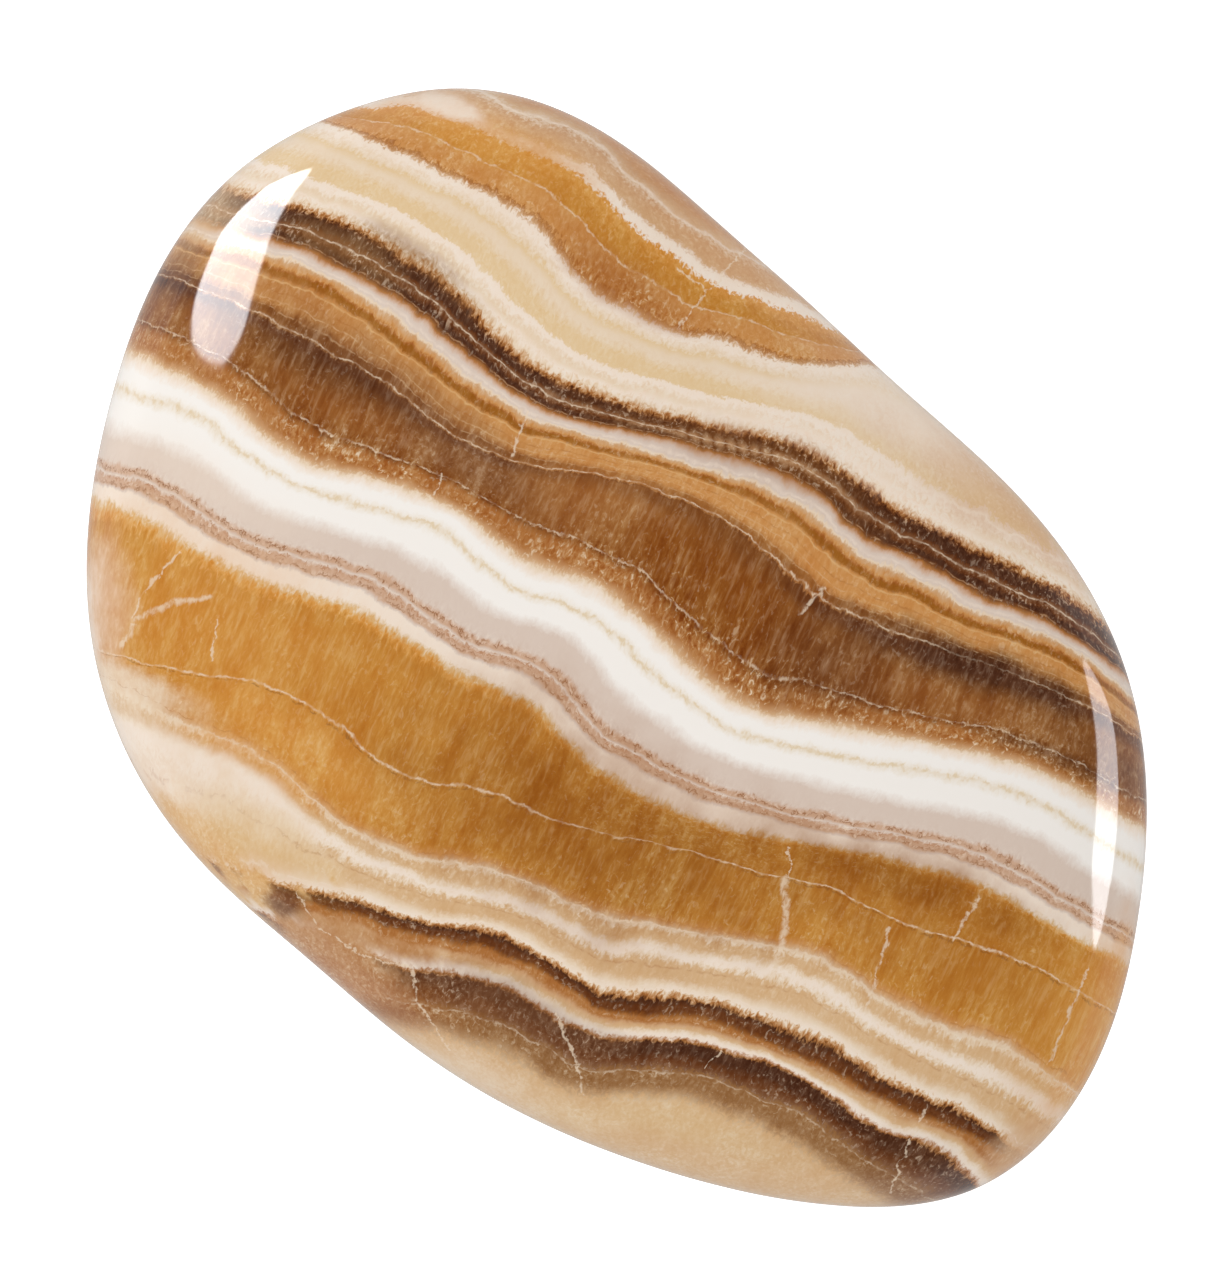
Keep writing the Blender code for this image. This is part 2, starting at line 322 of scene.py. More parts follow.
# Healed cracks: their widest half width, and the points along and across that they run through
CRACKS = (
    (0.06, ((-16.9, -2.2), (-17.7, -4.3), (-17.6, -5.2))),
    (0.17, ((-15.2, -3.2), (-16.4, -4.0), (-17.5, -5.2), (-17.6, -6.3))),
    (0.05, ((-14.6, -3.9), (-14.2, -5.4))),
    (0.06, ((-2.1, 17.2), (-2.7, 15.0), (-3.3, 13.1))),
    (0.05, ((-4.2, 15.3), (-2.8, 14.9))),
    (0.10, ((5.8, 6.4), (5.3, 5.2))),
    (0.08, ((-7.1, 8.0), (-7.0, 6.3))),
    (0.05, ((-9.0, 4.5), (-9.0, 3.7))),
    (0.05, ((8.6, -2.9), (9.0, -4.2))),
    (0.20, ((8.9, -4.1), (9.4, -5.2), (9.8, -6.3), (9.9, -7.4))),
    (0.08, ((13.3, -4.1), (13.5, -6.1), (13.6, -7.4))),
    (0.10, ((15.8, -1.7), (15.6, -3.6))),
    (0.08, ((20.8, -2.6), (20.9, -6.4))),
    (0.07, ((3.1, -12.3), (4.6, -13.6), (5.3, -14.7))),
    (0.06, ((17.3, -9.9), (17.3, -12.2), (17.5, -13.4))),
    (0.06, ((-2.5, -13.0), (-1.9, -14.0), (0.0, -15.2))),
    (0.05, ((-7.7, -12.2), (-6.4, -13.0), (-4.6, -13.25), (-2.6, -12.95))),
    (0.04, ((9.3, -11.0), (9.1, -11.9))),
)

# How strongly each texture shows at each level
EDGE_GRAIN = (
    (-20, 0.25), (-13.4, 0.30), (-12.4, 0.14), (-11.7, 0.12), (-10.2, 0.16), (-9.2, 0.22), (-8.4, 0.18),
    (-7.6, 0.14), (-5, 0.10), (-2.2, 0.18), (-1.6, 0.07), (-0.2, 0.08), (0.4, 0.10), (1.8, 0.06),
    (2.6, 0.12), (3.3, 0.28), (4.2, 0.14), (7, 0.10), (8.5, 0.09), (9.2, 0.07), (9.8, 0.10),
    (10.35, 0.18), (11.2, 0.18), (13.2, 0.2), (14.4, 0.25), (15.4, 0.16), (16.4, 0.2), (20, 0.25))
FIBRE_SHOW = (
    (-20, 0.5), (-13, 0.8), (-8.8, 0.5), (-8.2, 0.8), (-7.4, 1.0), (-2.4, 1.0), (-1.9, 0.4), (0.2, 0.12),
    (2.6, 0.10), (3.2, 0.7), (5, 1.2), (7.4, 0.8), (8.6, 0.5), (9, 0.25), (10.2, 0.6), (11, 0.4),
    (13.5, 0.3), (14.4, 0.8), (16.6, 0.6), (20, 0.5))
CRUMB_SHOW = (
    (-20, 0.5), (-15, 0.5), (-13.2, 0.8), (-12.1, 0.65), (-11.8, 0.4), (-11, 0.8), (-10.4, 0.75),
    (-9.6, 0.6), (-8.7, 0.35), (-8, 0.8), (-7.4, 0.55), (-5, 0.30), (-2.4, 0.35), (-1.8, 0.3),
    (-1.1, 0.8), (-0.3, 0.25), (0.6, 0.06), (2.5, 0.06), (3.2, 1.6), (3.9, 1.5), (4.3, 0.9), (5.0, 0.45),
    (6.2, 0.35), (7.4, 0.5), (8.4, 0.35), (9.0, 0.25), (9.4, 0.8), (10.3, 0.8), (10.9, 1.2), (11.6, 0.6),
    (13.8, 0.4), (14.4, 0.9), (15.4, 0.5), (16.6, 0.5), (20, 0.6))


def linear(red, green, blue):
    """A colour as the screen shows it, 0 to 255, as the linear values that shaders use."""
    return tuple(
        (value / 255 / 12.92) if value < 11 else ((value / 255 + 0.055) / 1.055) ** 2.4
        for value in (red, green, blue)
    )


def mineral(name, description, red, green, blue):
    """A colour property, with its default given as the screen shows it."""
    return bpy.props.FloatVectorProperty(
        name=name,
        description=description,
        default=linear(red, green, blue),
        size=3,
        min=0.0,
        max=1.0,
        subtype="COLOR",
    )


class AragoniteColours(bpy.types.PropertyGroup):
    """The colours of the stone's layers."""

    chalk: mineral("Chalk", "The wide white band", 253, 247, 240)
    milk: mineral("Milk", "White margins and white lines", 247, 229, 211)
    lilac: mineral("Lilac", "The greyish layer under the white band", 224, 204, 189)
    cream: mineral("Cream", "Pale warm layers", 239, 216, 188)
    straw: mineral("Straw", "The wide yellowish layer", 234, 204, 160)
    sand: mineral("Sand", "The dull end of the stone", 222, 184, 140)
    gold: mineral("Gold", "The thread in the white band", 226, 198, 150)
    honey: mineral("Honey", "Golden tan layers", 226, 184, 128)
    tan: mineral("Tan", "Pinkish tan layers", 214, 170, 126)
    gold_amber: mineral("Golden amber", "The brightest amber", 222, 158, 80)
    amber: mineral("Amber", "The wide amber bands", 202, 138, 60)
    ember: mineral("Ember", "Deep amber", 161, 100, 35)
    resin: mineral("Resin", "The deepest orange-brown", 142, 80, 26)
    copper: mineral("Copper", "Light orange-brown layers", 210, 150, 88)
    rust: mineral("Rust", "Orange-brown layers", 174, 108, 52)
    russet: mineral("Russet", "Warm brown layers", 148, 92, 44)
    fawn: mineral("Fawn", "Light brown, grainy layers", 182, 122, 68)
    rose: mineral("Rose", "Pinkish-brown fine lines", 212, 174, 146)
    umber: mineral("Umber", "Dark warm brown", 112, 64, 33)
    smoke: mineral("Smoke", "Greyish dark brown", 129, 86, 57)
    ash: mineral("Ash", "Greyish tan", 160, 116, 74)
    bark: mineral("Bark", "The darkest layers", 86, 51, 33)


def length(name, description, default, **limits):
    """A length as a property, in metres."""
    return bpy.props.FloatProperty(
        name=name, description=description, default=default, subtype="DISTANCE", unit="LENGTH", **limits)


class AragoniteStone(bpy.types.PropertyGroup):
    """The sizes of the stone's skin and layers."""

    smoothing: bpy.props.IntProperty(
        name="Smoothing", description="How often the skin's faces are divided", default=2, min=0, max=3)
    ripple: length(
        "Ripple", "Height of the slow ripples left by polishing", 0.006 * MM, min=0.0, precision=6)
    band_turn: bpy.props.FloatProperty(
        name="Band turn", description="Angle from the stone's length to its bands",
        default=math.radians(21.0), subtype="ANGLE", unit="ROTATION")
    waist: length("Waist", "Height below which the layers start to lean", 8.2 * MM, min=0.0)
    lean: length("Lean", "How far the layers have moved across at the underside", 2.6 * MM)
    polish: bpy.props.FloatProperty(
        name="Polish", description="Roughness of the polished face",
        default=0.06, min=0.0, max=1.0, subtype="FACTOR")


def lamp_power(name, description, watts):
    """A lamp's power as a property."""
    return bpy.props.FloatProperty(
        name=name, description=description, default=watts, min=0.0, subtype="POWER", unit="POWER")


class AragoniteStudio(bpy.types.PropertyGroup):
    """The camera, the floor and the lights."""

    distance: length("Camera distance", "From the camera to the stone's waist", 0.38, min=0.05)
    frame_height: length(
        "Frame height", "Height of the picture at the stone's waist", 49.08 * MM, min=0.001)
    roll: bpy.props.FloatProperty(
        name="Roll", description="Turn of the camera about its line of sight",
        default=math.radians(45.0), subtype="ANGLE", unit="ROTATION")
    aim: bpy.props.FloatVectorProperty(
        name="Aim", description="Point at the middle of the picture",
        default=(-1.12 * MM, 1.04 * MM, 8.2 * MM), size=3, subtype="XYZ", unit="LENGTH")
    fill: bpy.props.FloatProperty(
        name="Sky", description="Strength of the even light from all round", default=0.62, min=0.0)
    overhead: lamp_power("Overhead lamp", "Power of the large lamp above the stone", 2.0)
    key: lamp_power("Key lamp", "Power of the near lamp on the left", 0.05)
    left_strip: lamp_power("Left strip lamp", "Power of the strip that mirrors on the left", 3.0)
    right_strip: lamp_power("Right strip lamp", "Power of the strip that mirrors on the right", 0.85)
    floor_glow: bpy.props.FloatProperty(
        name="Floor glow", description="How strongly the lit floor panel shines", default=0.75, min=0.0)


def put(tree, socket, value):
    """Links a socket to an input, or sets the input to a plain value."""
    if isinstance(value, bpy.types.NodeSocket):
        tree.links.new(value, socket)
    else:
        socket.default_value = value


def add(tree, kind, inputs=None, **settings):
    """A new node with these settings and inputs."""
    node = tree.nodes.new(kind)
    for name, value in settings.items():
        setattr(node, name, value)
    for name, value in (inputs or {}).items():
        put(tree, node.inputs[name], value)
    return node


def maths(tree, operation, *values, clamp=False):
    """The result of one sum on plain numbers or sockets."""
    node = add(tree, "ShaderNodeMath", operation=operation, use_clamp=clamp)
    for socket, value in zip(node.inputs, values):
        put(tree, socket, value)
    return node.outputs[0]


def arrows(tree, operation, first, second, output=0):
    """The result of one sum on vectors, or on a vector and a number that scales it."""
    node = add(tree, "ShaderNodeVectorMath", {0: first}, operation=operation)
    put(tree, node.inputs["Scale" if operation == "SCALE" else 1], second)
    return node.outputs[output]


def spread(tree, value, low, high, to_low=0.0, to_high=1.0, kind="LINEAR"):
    """A value moved from one range to another, and held at its ends."""
    inputs = {"Value": value, "From Min": low, "From Max": high, "To Min": to_low, "To Max": to_high}
    return add(tree, "ShaderNodeMapRange", inputs, interpolation_type=kind).outputs[0]


def vector(tree, across_x, across_y, up_z=0.0):
    """Three numbers or sockets as one vector."""
    return add(tree, "ShaderNodeCombineXYZ", {0: across_x, 1: across_y, 2: up_z}).outputs[0]


def noise(tree, place, scale, detail=2.0, roughness=0.5, distortion=0.0, output=0):
    """Even noise between 0 and 1 with a mean of about a half."""
    inputs = {
        "Vector": place, "Scale": scale, "Detail": detail, "Roughness": roughness,
        "Distortion": distortion}
    return add(tree, "ShaderNodeTexNoise", inputs).outputs[output]


def blend(tree, factor, under, over):
    """One colour laid over another."""
    node = add(tree, "ShaderNodeMix", data_type="RGBA", clamp_factor=True)
    put(tree, node.inputs[0], factor)
    put(tree, node.inputs[6], under)
    put(tree, node.inputs[7], over)
    return node.outputs[2]


def choose(tree, factor, first, second):
    """A vector between two others."""
    node = add(tree, "ShaderNodeMix", data_type="VECTOR")
    put(tree, node.inputs[0], factor)
    put(tree, node.inputs[4], first)
    put(tree, node.inputs[5], second)
    return node.outputs[1]


def drawn_curve(tree, share, points):
    """A smooth curve through points, as a node that reads one number. Both run from 0 to 1."""
    node = add(tree, "ShaderNodeFloatCurve", {"Value": share})
    curve = node.mapping.curves[0]
    curve.points[0].location = points[0]
    curve.points[-1].location = points[-1]
    for point in points[1:-1]:
        curve.points.new(*point)
    node.mapping.update()
    return node.outputs[0]


def share_of_span(value):
    """A length along or across the stone as its share of the span that is drawn."""
    return (value + SPAN) / (2 * SPAN)


NUMBER = "NodeSocketFloat"
ARROW = "NodeSocketVector"
SHADER_TREE = "ShaderNodeTree"
SHAPE_TREE = "GeometryNodeTree"


def start_group(name, kind, inputs, outputs):
    """A new node group of one kind, with its inputs' defaults by name, and its outputs."""
    group = bpy.data.node_groups.new(name, kind)
    for label, default in inputs.items():
        socket_kind = ARROW if isinstance(default, tuple) else NUMBER
        socket = group.interface.new_socket(label, in_out="INPUT", socket_type=socket_kind)
        socket.default_value = default
    for label, socket_kind in outputs.items():
        group.interface.new_socket(label, in_out="OUTPUT", socket_type=socket_kind)
    given = group.nodes.new("NodeGroupInput").outputs
    result = group.nodes.new("NodeGroupOutput").inputs
    return group, given, result


def fill_group(tree, group, inputs):
    """Places a node group and fills its inputs."""
    node = tree.nodes.new(tree.bl_idname.replace("Tree", "Group"))
    node.node_tree = group
    for name, value in inputs.items():
        put(tree, node.inputs[name], value)
    return node.outputs


def level_group():
    """Turns a place along and across the bands into its level in the pile of layers."""
    inputs = {"Along": 0.0, "Across": 0.0}
    group, given, result = start_group("Layer level", SHAPE_TREE, inputs, {"Level": NUMBER})
    share_along = spread(group, given["Along"], -SPAN, SPAN)
    share_across = maths(group, "MULTIPLY_ADD", given["Across"], 0.5 / SPAN, 0.5)
    heights = []
    for _, _, points in GROWTH_LINES:
        shares = [(share_of_span(along), share_of_span(across)) for along, across in points]
        heights.append(drawn_curve(group, share_along, shares))
    levels = [level for _, level, _ in GROWTH_LINES]
    above = maths(group, "MAXIMUM", maths(group, "SUBTRACT", share_across, heights[0]), 0.0)
    total = maths(group, "MULTIPLY_ADD", above, 2 * SPAN, levels[-1])
    for upper in range(len(levels) - 1):
        gap = levels[upper] - levels[upper + 1]
        step = spread(group, share_across, heights[upper + 1], heights[upper], 0.0, gap)
        total = maths(group, "ADD", total, step)
    below = maths(group, "MINIMUM", maths(group, "SUBTRACT", share_across, heights[-1]), 0.0)
    total = maths(group, "MULTIPLY_ADD", below, 2 * SPAN, total)
    put(group, result["Level"], total)
    return group


def cloud_group():
    """Lays one soft, ragged cloud over the clouds before it."""
    inputs = {
        "Tint": (0, 0, 0), "Cover": 0.0, "Along": 0.0, "Level": 0.0, "Ragged": 0.0,
        "Centre along": 0.0, "Centre level": 0.0, "Half length": 1.0, "Half height": 1.0,
        "Squareness": 2.0, "Colour": (1, 1, 1), "Strength": 1.0, "Softness": 0.5}
    outputs = {"Tint": ARROW, "Cover": NUMBER}
    group, given, result = start_group("Cloud in the bands", SHAPE_TREE, inputs, outputs)
    powers = []
    ways = (("Along", "Centre along", "Half length"), ("Level", "Centre level", "Half height"))
    for place, centre, half in ways:
        off = maths(group, "ABSOLUTE", maths(group, "SUBTRACT", given[place], given[centre]))
        powers.append(maths(group, "POWER", maths(group, "DIVIDE", off, given[half]), given["Squareness"]))
    root = maths(group, "DIVIDE", 1.0, given["Squareness"])
    far = maths(group, "POWER", maths(group, "ADD", *powers), root)
    far = maths(group, "ADD", far, given["Ragged"])
    inner = maths(group, "SUBTRACT", 1.0, given["Softness"])
    outer = maths(group, "ADD", 1.0, given["Softness"])
    mask = spread(group, far, inner, outer, given["Strength"], 0.0, kind="SMOOTHSTEP")
    put(group, result["Tint"], choose(group, mask, given["Tint"], given["Colour"]))
    put(group, result["Cover"], spread(group, mask, 0.0, 1.0, given["Cover"], 1.0))
    return group


def crack_group():
    """Keeps the nearer of two runs of a crack: the best so far, and one between two points."""
    inputs = {
        "Place": (0, 0, 0), "Start": (0, 0, 0), "End": (1, 0, 0), "Width": 0.1,
        "Best far": FAR_OFF, "Best start": (0, 0, 0), "Best run": (1, 0, 0), "Best width": 0.0}
    outputs = {"Far": NUMBER, "Start": ARROW, "Run": ARROW, "Width": NUMBER}
    group, given, result = start_group("Nearest crack", SHAPE_TREE, inputs, outputs)
    run = arrows(group, "SUBTRACT", given["End"], given["Start"])
    far = distance_to_run(group, given["Place"], given["Start"], run)
    nearer = maths(group, "LESS_THAN", far, given["Best far"])
    put(group, result["Far"], maths(group, "MINIMUM", far, given["Best far"]))
    for name, old, new in (("Start", "Best start", given["Start"]), ("Run", "Best run", run)):
        put(group, result[name], choose(group, nearer, given[old], new))
    put(group, result["Width"], spread(group, nearer, 0.0, 1.0, given["Best width"], given["Width"]))
    return group


def distance_to_run(tree, place, start, run):
    """How far a place lies from a straight run, in plan."""
    offset = arrows(tree, "SUBTRACT", place, start)
    along = arrows(tree, "DOT_PRODUCT", offset, run, "Value")
    whole = arrows(tree, "DOT_PRODUCT", run, run, "Value")
    nearest = arrows(tree, "SCALE", run, maths(tree, "DIVIDE", along, whole, clamp=True))
    return arrows(tree, "DISTANCE", offset, nearest, "Value")


def thread_group():
    """A fine growth line, partly broken into stitches."""
    inputs = {
        "Level": 0.0, "Stitch": 0.5, "Height": 0.0, "Half width": 0.05, "Broken": 0.5,
        "Strength": 1.0, "Clear": 1.0, "Crumb": 0.0, "Jitter": 0.04}
    group, given, result = start_group("Growth thread", SHADER_TREE, inputs, {"Thread": NUMBER})
    moved = maths(group, "MULTIPLY_ADD", given["Crumb"], given["Jitter"], given["Level"])
    off = maths(group, "ABSOLUTE", maths(group, "SUBTRACT", moved, given["Height"]))
    line = spread(group, off, 0.0, given["Half width"], given["Strength"], 0.0, kind="SMOOTHSTEP")
    stitch = spread(group, given["Broken"], 0.0, 1.0, 1.0, given["Stitch"])
    stitch = maths(group, "MULTIPLY", stitch, given["Clear"])
    put(group, result["Thread"], maths(group, "MULTIPLY", line, stitch))
    return group


# The parts of the crystal texture: name, how far it is squeezed in level, so that it comes out
# drawn across the bands, noise scale, detail, roughness, distortion, the range of noise that
# is used, and the value at the range's low end
TEXTURES = (
    ("Mottle", 0.7, 0.55, 2.0, 0.55, 0.0, 0.25, 0.75, -1.0),
    ("Silk", 0.10, 1.5, 1.0, 0.5, 0.0, 0.25, 0.75, -1.0),
    ("Fibre", 0.18, 6.0, 2.0, 0.6, 0.25, 0.25, 0.75, -1.0),
    ("Crumb", 0.65, 6.5, 2.0, 0.6, 0.7, 0.25, 0.75, -1.0),
    ("Stitch", 0.9, 3.6, 1.0, 0.5, 0.0, 0.40, 0.58, 0.0),
)


def texture_group():
    """The crystal texture: each part of it drawn across the bands, and the stitches of the threads."""
    inputs = {"Along": 0.0, "Level": 0.0, "Depth": 0.0}
    outputs = {name: NUMBER for name, *_ in TEXTURES}
    group, given, result = start_group("Crystal texture", SHADER_TREE, inputs, outputs)
    for name, squeeze, scale, detail, roughness, distortion, low, high, lowest in TEXTURES:
        squeezed = maths(group, "MULTIPLY", given["Level"], squeeze)
        place = vector(group, given["Along"], squeezed, given["Depth"])
        drawn = noise(group, place, scale, detail, roughness, distortion)
        put(group, result[name], spread(group, drawn, low, high, lowest, 1.0))
    return group


def colour_of(colours, name):
    """A named mineral colour with its alpha."""
    return (*getattr(colours, name), 1.0)


def band_stops(colours):
    """The stops of the bands, from the lowest level up, as (level, colour)."""
    stops = []
    for top, top_name, bottom, bottom_name in BANDS:
        stops.append((top, colour_of(colours, top_name)))
        stops.append((bottom, colour_of(colours, bottom_name)))
    return sorted(stops)


# How many stops each colour ramp takes: a ramp holds no more than 32
RAMP_STOPS = 25


def band_colour(tree, colours, level):
    """The bands' own colours, on as many ramps as they need, one above the other."""
    stops = band_stops(colours)
    colour = None
    for first in range(0, len(stops) - 1, RAMP_STOPS - 1):
        these = stops[first:first + RAMP_STOPS]
        low = these[0][0]
        high = these[-1][0]
        ramp = add(tree, "ShaderNodeValToRGB", {"Fac": spread(tree, level, low, high)})
        elements = ramp.color_ramp.elements
        elements[0].position = 0.0
        elements[0].color = these[0][1]
        elements[1].position = 1.0
        elements[1].color = these[-1][1]
        for stop, shade in these[1:-1]:
            elements.new((stop - low) / (high - low)).color = shade
        if colour is None:
            colour = ramp.outputs["Color"]
        else:
            colour = blend(tree, maths(tree, "GREATER_THAN", level, low), colour, ramp.outputs["Color"])
    return colour


def show_at(tree, level, profile):
    """How strongly something shows at this level, from a drawn profile."""
    low = profile[0][0]
    high = profile[-1][0]
    points = [((height - low) / (high - low), strength) for height, strength in profile]
    return drawn_curve(tree, spread(tree, level, low, high), points)


def from_skin(tree, name):
    """Something that the skin carries at each of its points or faces."""
    return add(tree, "ShaderNodeAttribute", attribute_type="GEOMETRY", attribute_name=name)


# How far the bands' edges sway, in millimetres, and how much crumbs and fibres fray them
BAND_SWAY = 0.12
FRINGE_CRUMB = 0.83
FRINGE_FIBRE = 0.12

# How much each part of the texture darkens the stone, and the palest that it may get
SILK_TONE = 0.102
FIBRE_TONE = 0.136
MOTTLE_TONE = 0.119
CRUMB_TONE = 0.26
PALEST_TONE = 0.45

# How pale the brightest crumbs and hairs are
PALE_CRUMB = 0.32
PALE_HAIR = 0.07

# Healed cracks: their waver in millimetres, how pale they are, and how much duller than the polish
CRACK_WAVER = (0.55, 0.55, 0.0)
CRACK_STRENGTH = 0.65
CRACK_DULL = 0.2

# Their paler core as a share of their width, how far crumbs fray them in millimetres, and the
# heights in millimetres between which they fade in
CRACK_CORE = 0.1
CRACK_FRAY = 0.05
CRACK_FADE = (5.0, 7.0)

ARAGONITE_IOR = 1.6

# How far the layers stray at the underside in millimetres, and how ragged the clouds' rims are
STRAY = 1.6
RAGGED = 0.26

# Keeps a place's plan and drops its height
FLAT = (1.0, 1.0, 0.0)

# A distance in millimetres that is farther than any crack
FAR_OFF = 99.0


def aragonite_material(colours, stone):
    """The banded, fibrous and polished stone."""
    material = bpy.data.materials.new("Polished aragonite")
    material.use_nodes = True
    tree = material.node_tree
    shader = tree.nodes["Principled BSDF"]
    point = add(tree, "ShaderNodeTexCoord").outputs["Object"]
    plan = add(tree, "ShaderNodeMapping", {
        "Vector": point, "Rotation": (0.0, 0.0, -stone.band_turn), "Scale": (1 / MM,) * 3}).outputs[0]
    layer = from_skin(tree, "layer_place").outputs["Vector"]
    layer = add(tree, "ShaderNodeSeparateXYZ", {0: layer}).outputs
    sway = spread(tree, noise(tree, plan, 0.9, 2.0, 0.55), 0.25, 0.75, -BAND_SWAY, BAND_SWAY)
    level = maths(tree, "ADD", layer[1], sway)
    texture = fill_group(tree, texture_group(), {"Along": layer[0], "Level": level, "Depth": layer[2]})

    crumb = texture["Crumb"]
    fringe = maths(tree, "MULTIPLY", crumb, FRINGE_CRUMB)
    fringe = maths(tree, "MULTIPLY_ADD", texture["Fibre"], FRINGE_FIBRE, fringe)
    edge = maths(tree, "MULTIPLY_ADD", fringe, show_at(tree, level, EDGE_GRAIN), level)
    colour = band_colour(tree, colours, edge)

    cover = from_skin(tree, "cloud_cover").outputs["Fac"]
    clear = maths(tree, "SUBTRACT", 1.0, maths(tree, "POWER", cover, 6.0))
    cover = maths(tree, "SUBTRACT", 1.0, cover)
    tint = from_skin(tree, "cloud_tint").outputs["Vector"]
    colour = arrows(tree, "ADD", arrows(tree, "SCALE", colour, cover), tint)

    fibre_show = show_at(tree, level, FIBRE_SHOW)
    streaks = maths(tree, "MULTIPLY", texture["Silk"], SILK_TONE)
    streaks = maths(tree, "MULTIPLY_ADD", texture["Fibre"], FIBRE_TONE, streaks)
    streaks = maths(tree, "MULTIPLY_ADD", texture["Mottle"], MOTTLE_TONE, streaks)
    tone = maths(tree, "MULTIPLY_ADD", maths(tree, "MULTIPLY", streaks, -1.0), fibre_show, 1.0)
    patchy = spread(tree, texture["Mottle"], -0.6, 0.6, 0.5, 1.5)
    crumb_show = maths(tree, "MULTIPLY", show_at(tree, level, CRUMB_SHOW), patchy)
    crumbs = maths(tree, "MULTIPLY", crumb, crumb_show)
    tone = maths(tree, "MAXIMUM", maths(tree, "MULTIPLY_ADD", crumbs, -CRUMB_TONE, tone), PALEST_TONE)
    colour = add(tree, "ShaderNodeGamma", {"Color": colour, "Gamma": tone}).outputs[0]
    pale = maths(tree, "MULTIPLY", spread(tree, crumb, 0.3, 0.85, 0.0, PALE_CRUMB), crumb_show)
    hair = spread(tree, texture["Fibre"], 0.1, 0.9, 0.0, PALE_HAIR)
    hair = maths(tree, "MULTIPLY", hair, fibre_show)
    colour = blend(tree, maths(tree, "MAXIMUM", pale, hair), colour, colour_of(colours, "cream"))

    thread = thread_group()
    for high, half_width, name, broken, strength, jitter in THREADS:
        drawn = fill_group(tree, thread, {
            "Level": level, "Crumb": crumb, "Jitter": jitter, "Stitch": texture["Stitch"],
            "Height": high, "Half width": half_width, "Broken": broken, "Strength": strength,
            "Clear": clear})["Thread"]
        colour = blend(tree, drawn, colour, colour_of(colours, name))

    cracks = crack_mask(tree, plan, crumb)
    colour = blend(tree, cracks, colour, colour_of(colours, "cream"))
    put(tree, shader.inputs["Base Color"], colour)
    put(tree, shader.inputs["Roughness"], maths(tree, "MULTIPLY_ADD", cracks, CRACK_DULL, stone.polish))
    shader.inputs["IOR"].default_value = ARAGONITE_IOR
    return material


def crack_mask(tree, plan, crumb):
    """The nearest healed crack, with a wavering run and ragged edges."""
    waver = noise(tree, plan, 1.5, 2.0, 0.6, output="Color")
    centred = arrows(tree, "SUBTRACT", waver, (0.5, 0.5, 0.5))
    moved = arrows(tree, "ADD", arrows(tree, "MULTIPLY", centred, CRACK_WAVER), plan)
    flat = arrows(tree, "MULTIPLY", moved, FLAT)
    start = from_skin(tree, "crack_start").outputs["Vector"]
    run = from_skin(tree, "crack_run").outputs["Vector"]
    width = from_skin(tree, "crack_width").outputs["Fac"]
    far = distance_to_run(tree, flat, start, run)
    far = maths(tree, "MULTIPLY_ADD", crumb, -CRACK_FRAY, far)
    core = maths(tree, "MULTIPLY", width, CRACK_CORE)
    line = spread(tree, far, core, width, CRACK_STRENGTH, 0.0, kind="SMOOTHSTEP")
    broken = spread(tree, crumb, -0.7, 0.1, 0.4, 1.0)
    return maths(tree, "MULTIPLY", line, broken)


def layer_fields(tree, given):
    """Each point's place in the bands: along, level and height, and its plan place. All in millimetres."""
    place = add(tree, "GeometryNodeInputPosition").outputs[0]
    scaled = arrows(tree, "SCALE", place, 1 / MM)
    back = maths(tree, "MULTIPLY", given["Band turn"], -1.0)
    turned = add(tree, "ShaderNodeVectorRotate", {"Vector": scaled, "Angle": back}, rotation_type="Z_AXIS")
    turned = turned.outputs[0]
    parts = add(tree, "ShaderNodeSeparateXYZ", {0: turned}).outputs
    waist = maths(tree, "DIVIDE", given["Waist"], MM)
    deep = spread(tree, parts[2], waist, 0.0, kind="SMOOTHSTEP")
    stray = spread(tree, noise(tree, turned, 0.13, detail=1.0), 0.3, 0.7, -STRAY, STRAY)
    stray = maths(tree, "ADD", stray, maths(tree, "DIVIDE", given["Lean"], MM))
    lean = maths(tree, "MULTIPLY", deep, stray)
    along = maths(tree, "ADD", parts[0], lean)
    across = maths(tree, "ADD", parts[1], lean)
    level = fill_group(tree, level_group(), {"Along": along, "Across": across})["Level"]
    return turned, along, level, parts[2]


def cloud_fields(tree, colours, turned, along, level):
    """All clouds laid over each other: their tint, and how much of the bands they cover."""
    ragged = spread(tree, noise(tree, turned, 0.7, detail=4.0, roughness=0.6), 0.3, 0.7, -RAGGED, RAGGED)
    group = cloud_group()
    tint = (0.0, 0.0, 0.0)
    cover = 0.0
    for far, high, half_length, half_height, name, strength, softness, *square in CLOUDS:
        drawn = fill_group(tree, group, {
            "Tint": tint, "Cover": cover, "Along": along, "Level": level, "Ragged": ragged,
            "Centre along": far, "Centre level": high,
            "Half length": half_length, "Half height": half_height,
            "Squareness": square[0] if square else 2.0, "Colour": getattr(colours, name),
            "Strength": strength, "Softness": softness})
        tint = drawn["Tint"]
        cover = drawn["Cover"]
    return tint, cover


def crack_fields(tree, turned, height):
    """The nearest run of a healed crack: its start, its run and its width. Cracks end above the waist."""
    place = arrows(tree, "MULTIPLY", turned, FLAT)
    group = crack_group()
    far = FAR_OFF
    start = (0.0, 0.0, 0.0)
    run = (1.0, 0.0, 0.0)
    width = 0.0
    for half_width, points in CRACKS:
        for first, last in zip(points, points[1:]):
            found = fill_group(tree, group, {
                "Place": place, "Start": (*first, 0.0), "End": (*last, 0.0), "Width": half_width,
                "Best far": far, "Best start": start, "Best run": run, "Best width": width})
            far = found["Far"]
            start = found["Start"]
            run = found["Run"]
            width = found["Width"]
    upper = spread(tree, height, *CRACK_FADE)
    return start, run, maths(tree, "MULTIPLY", width, upper)


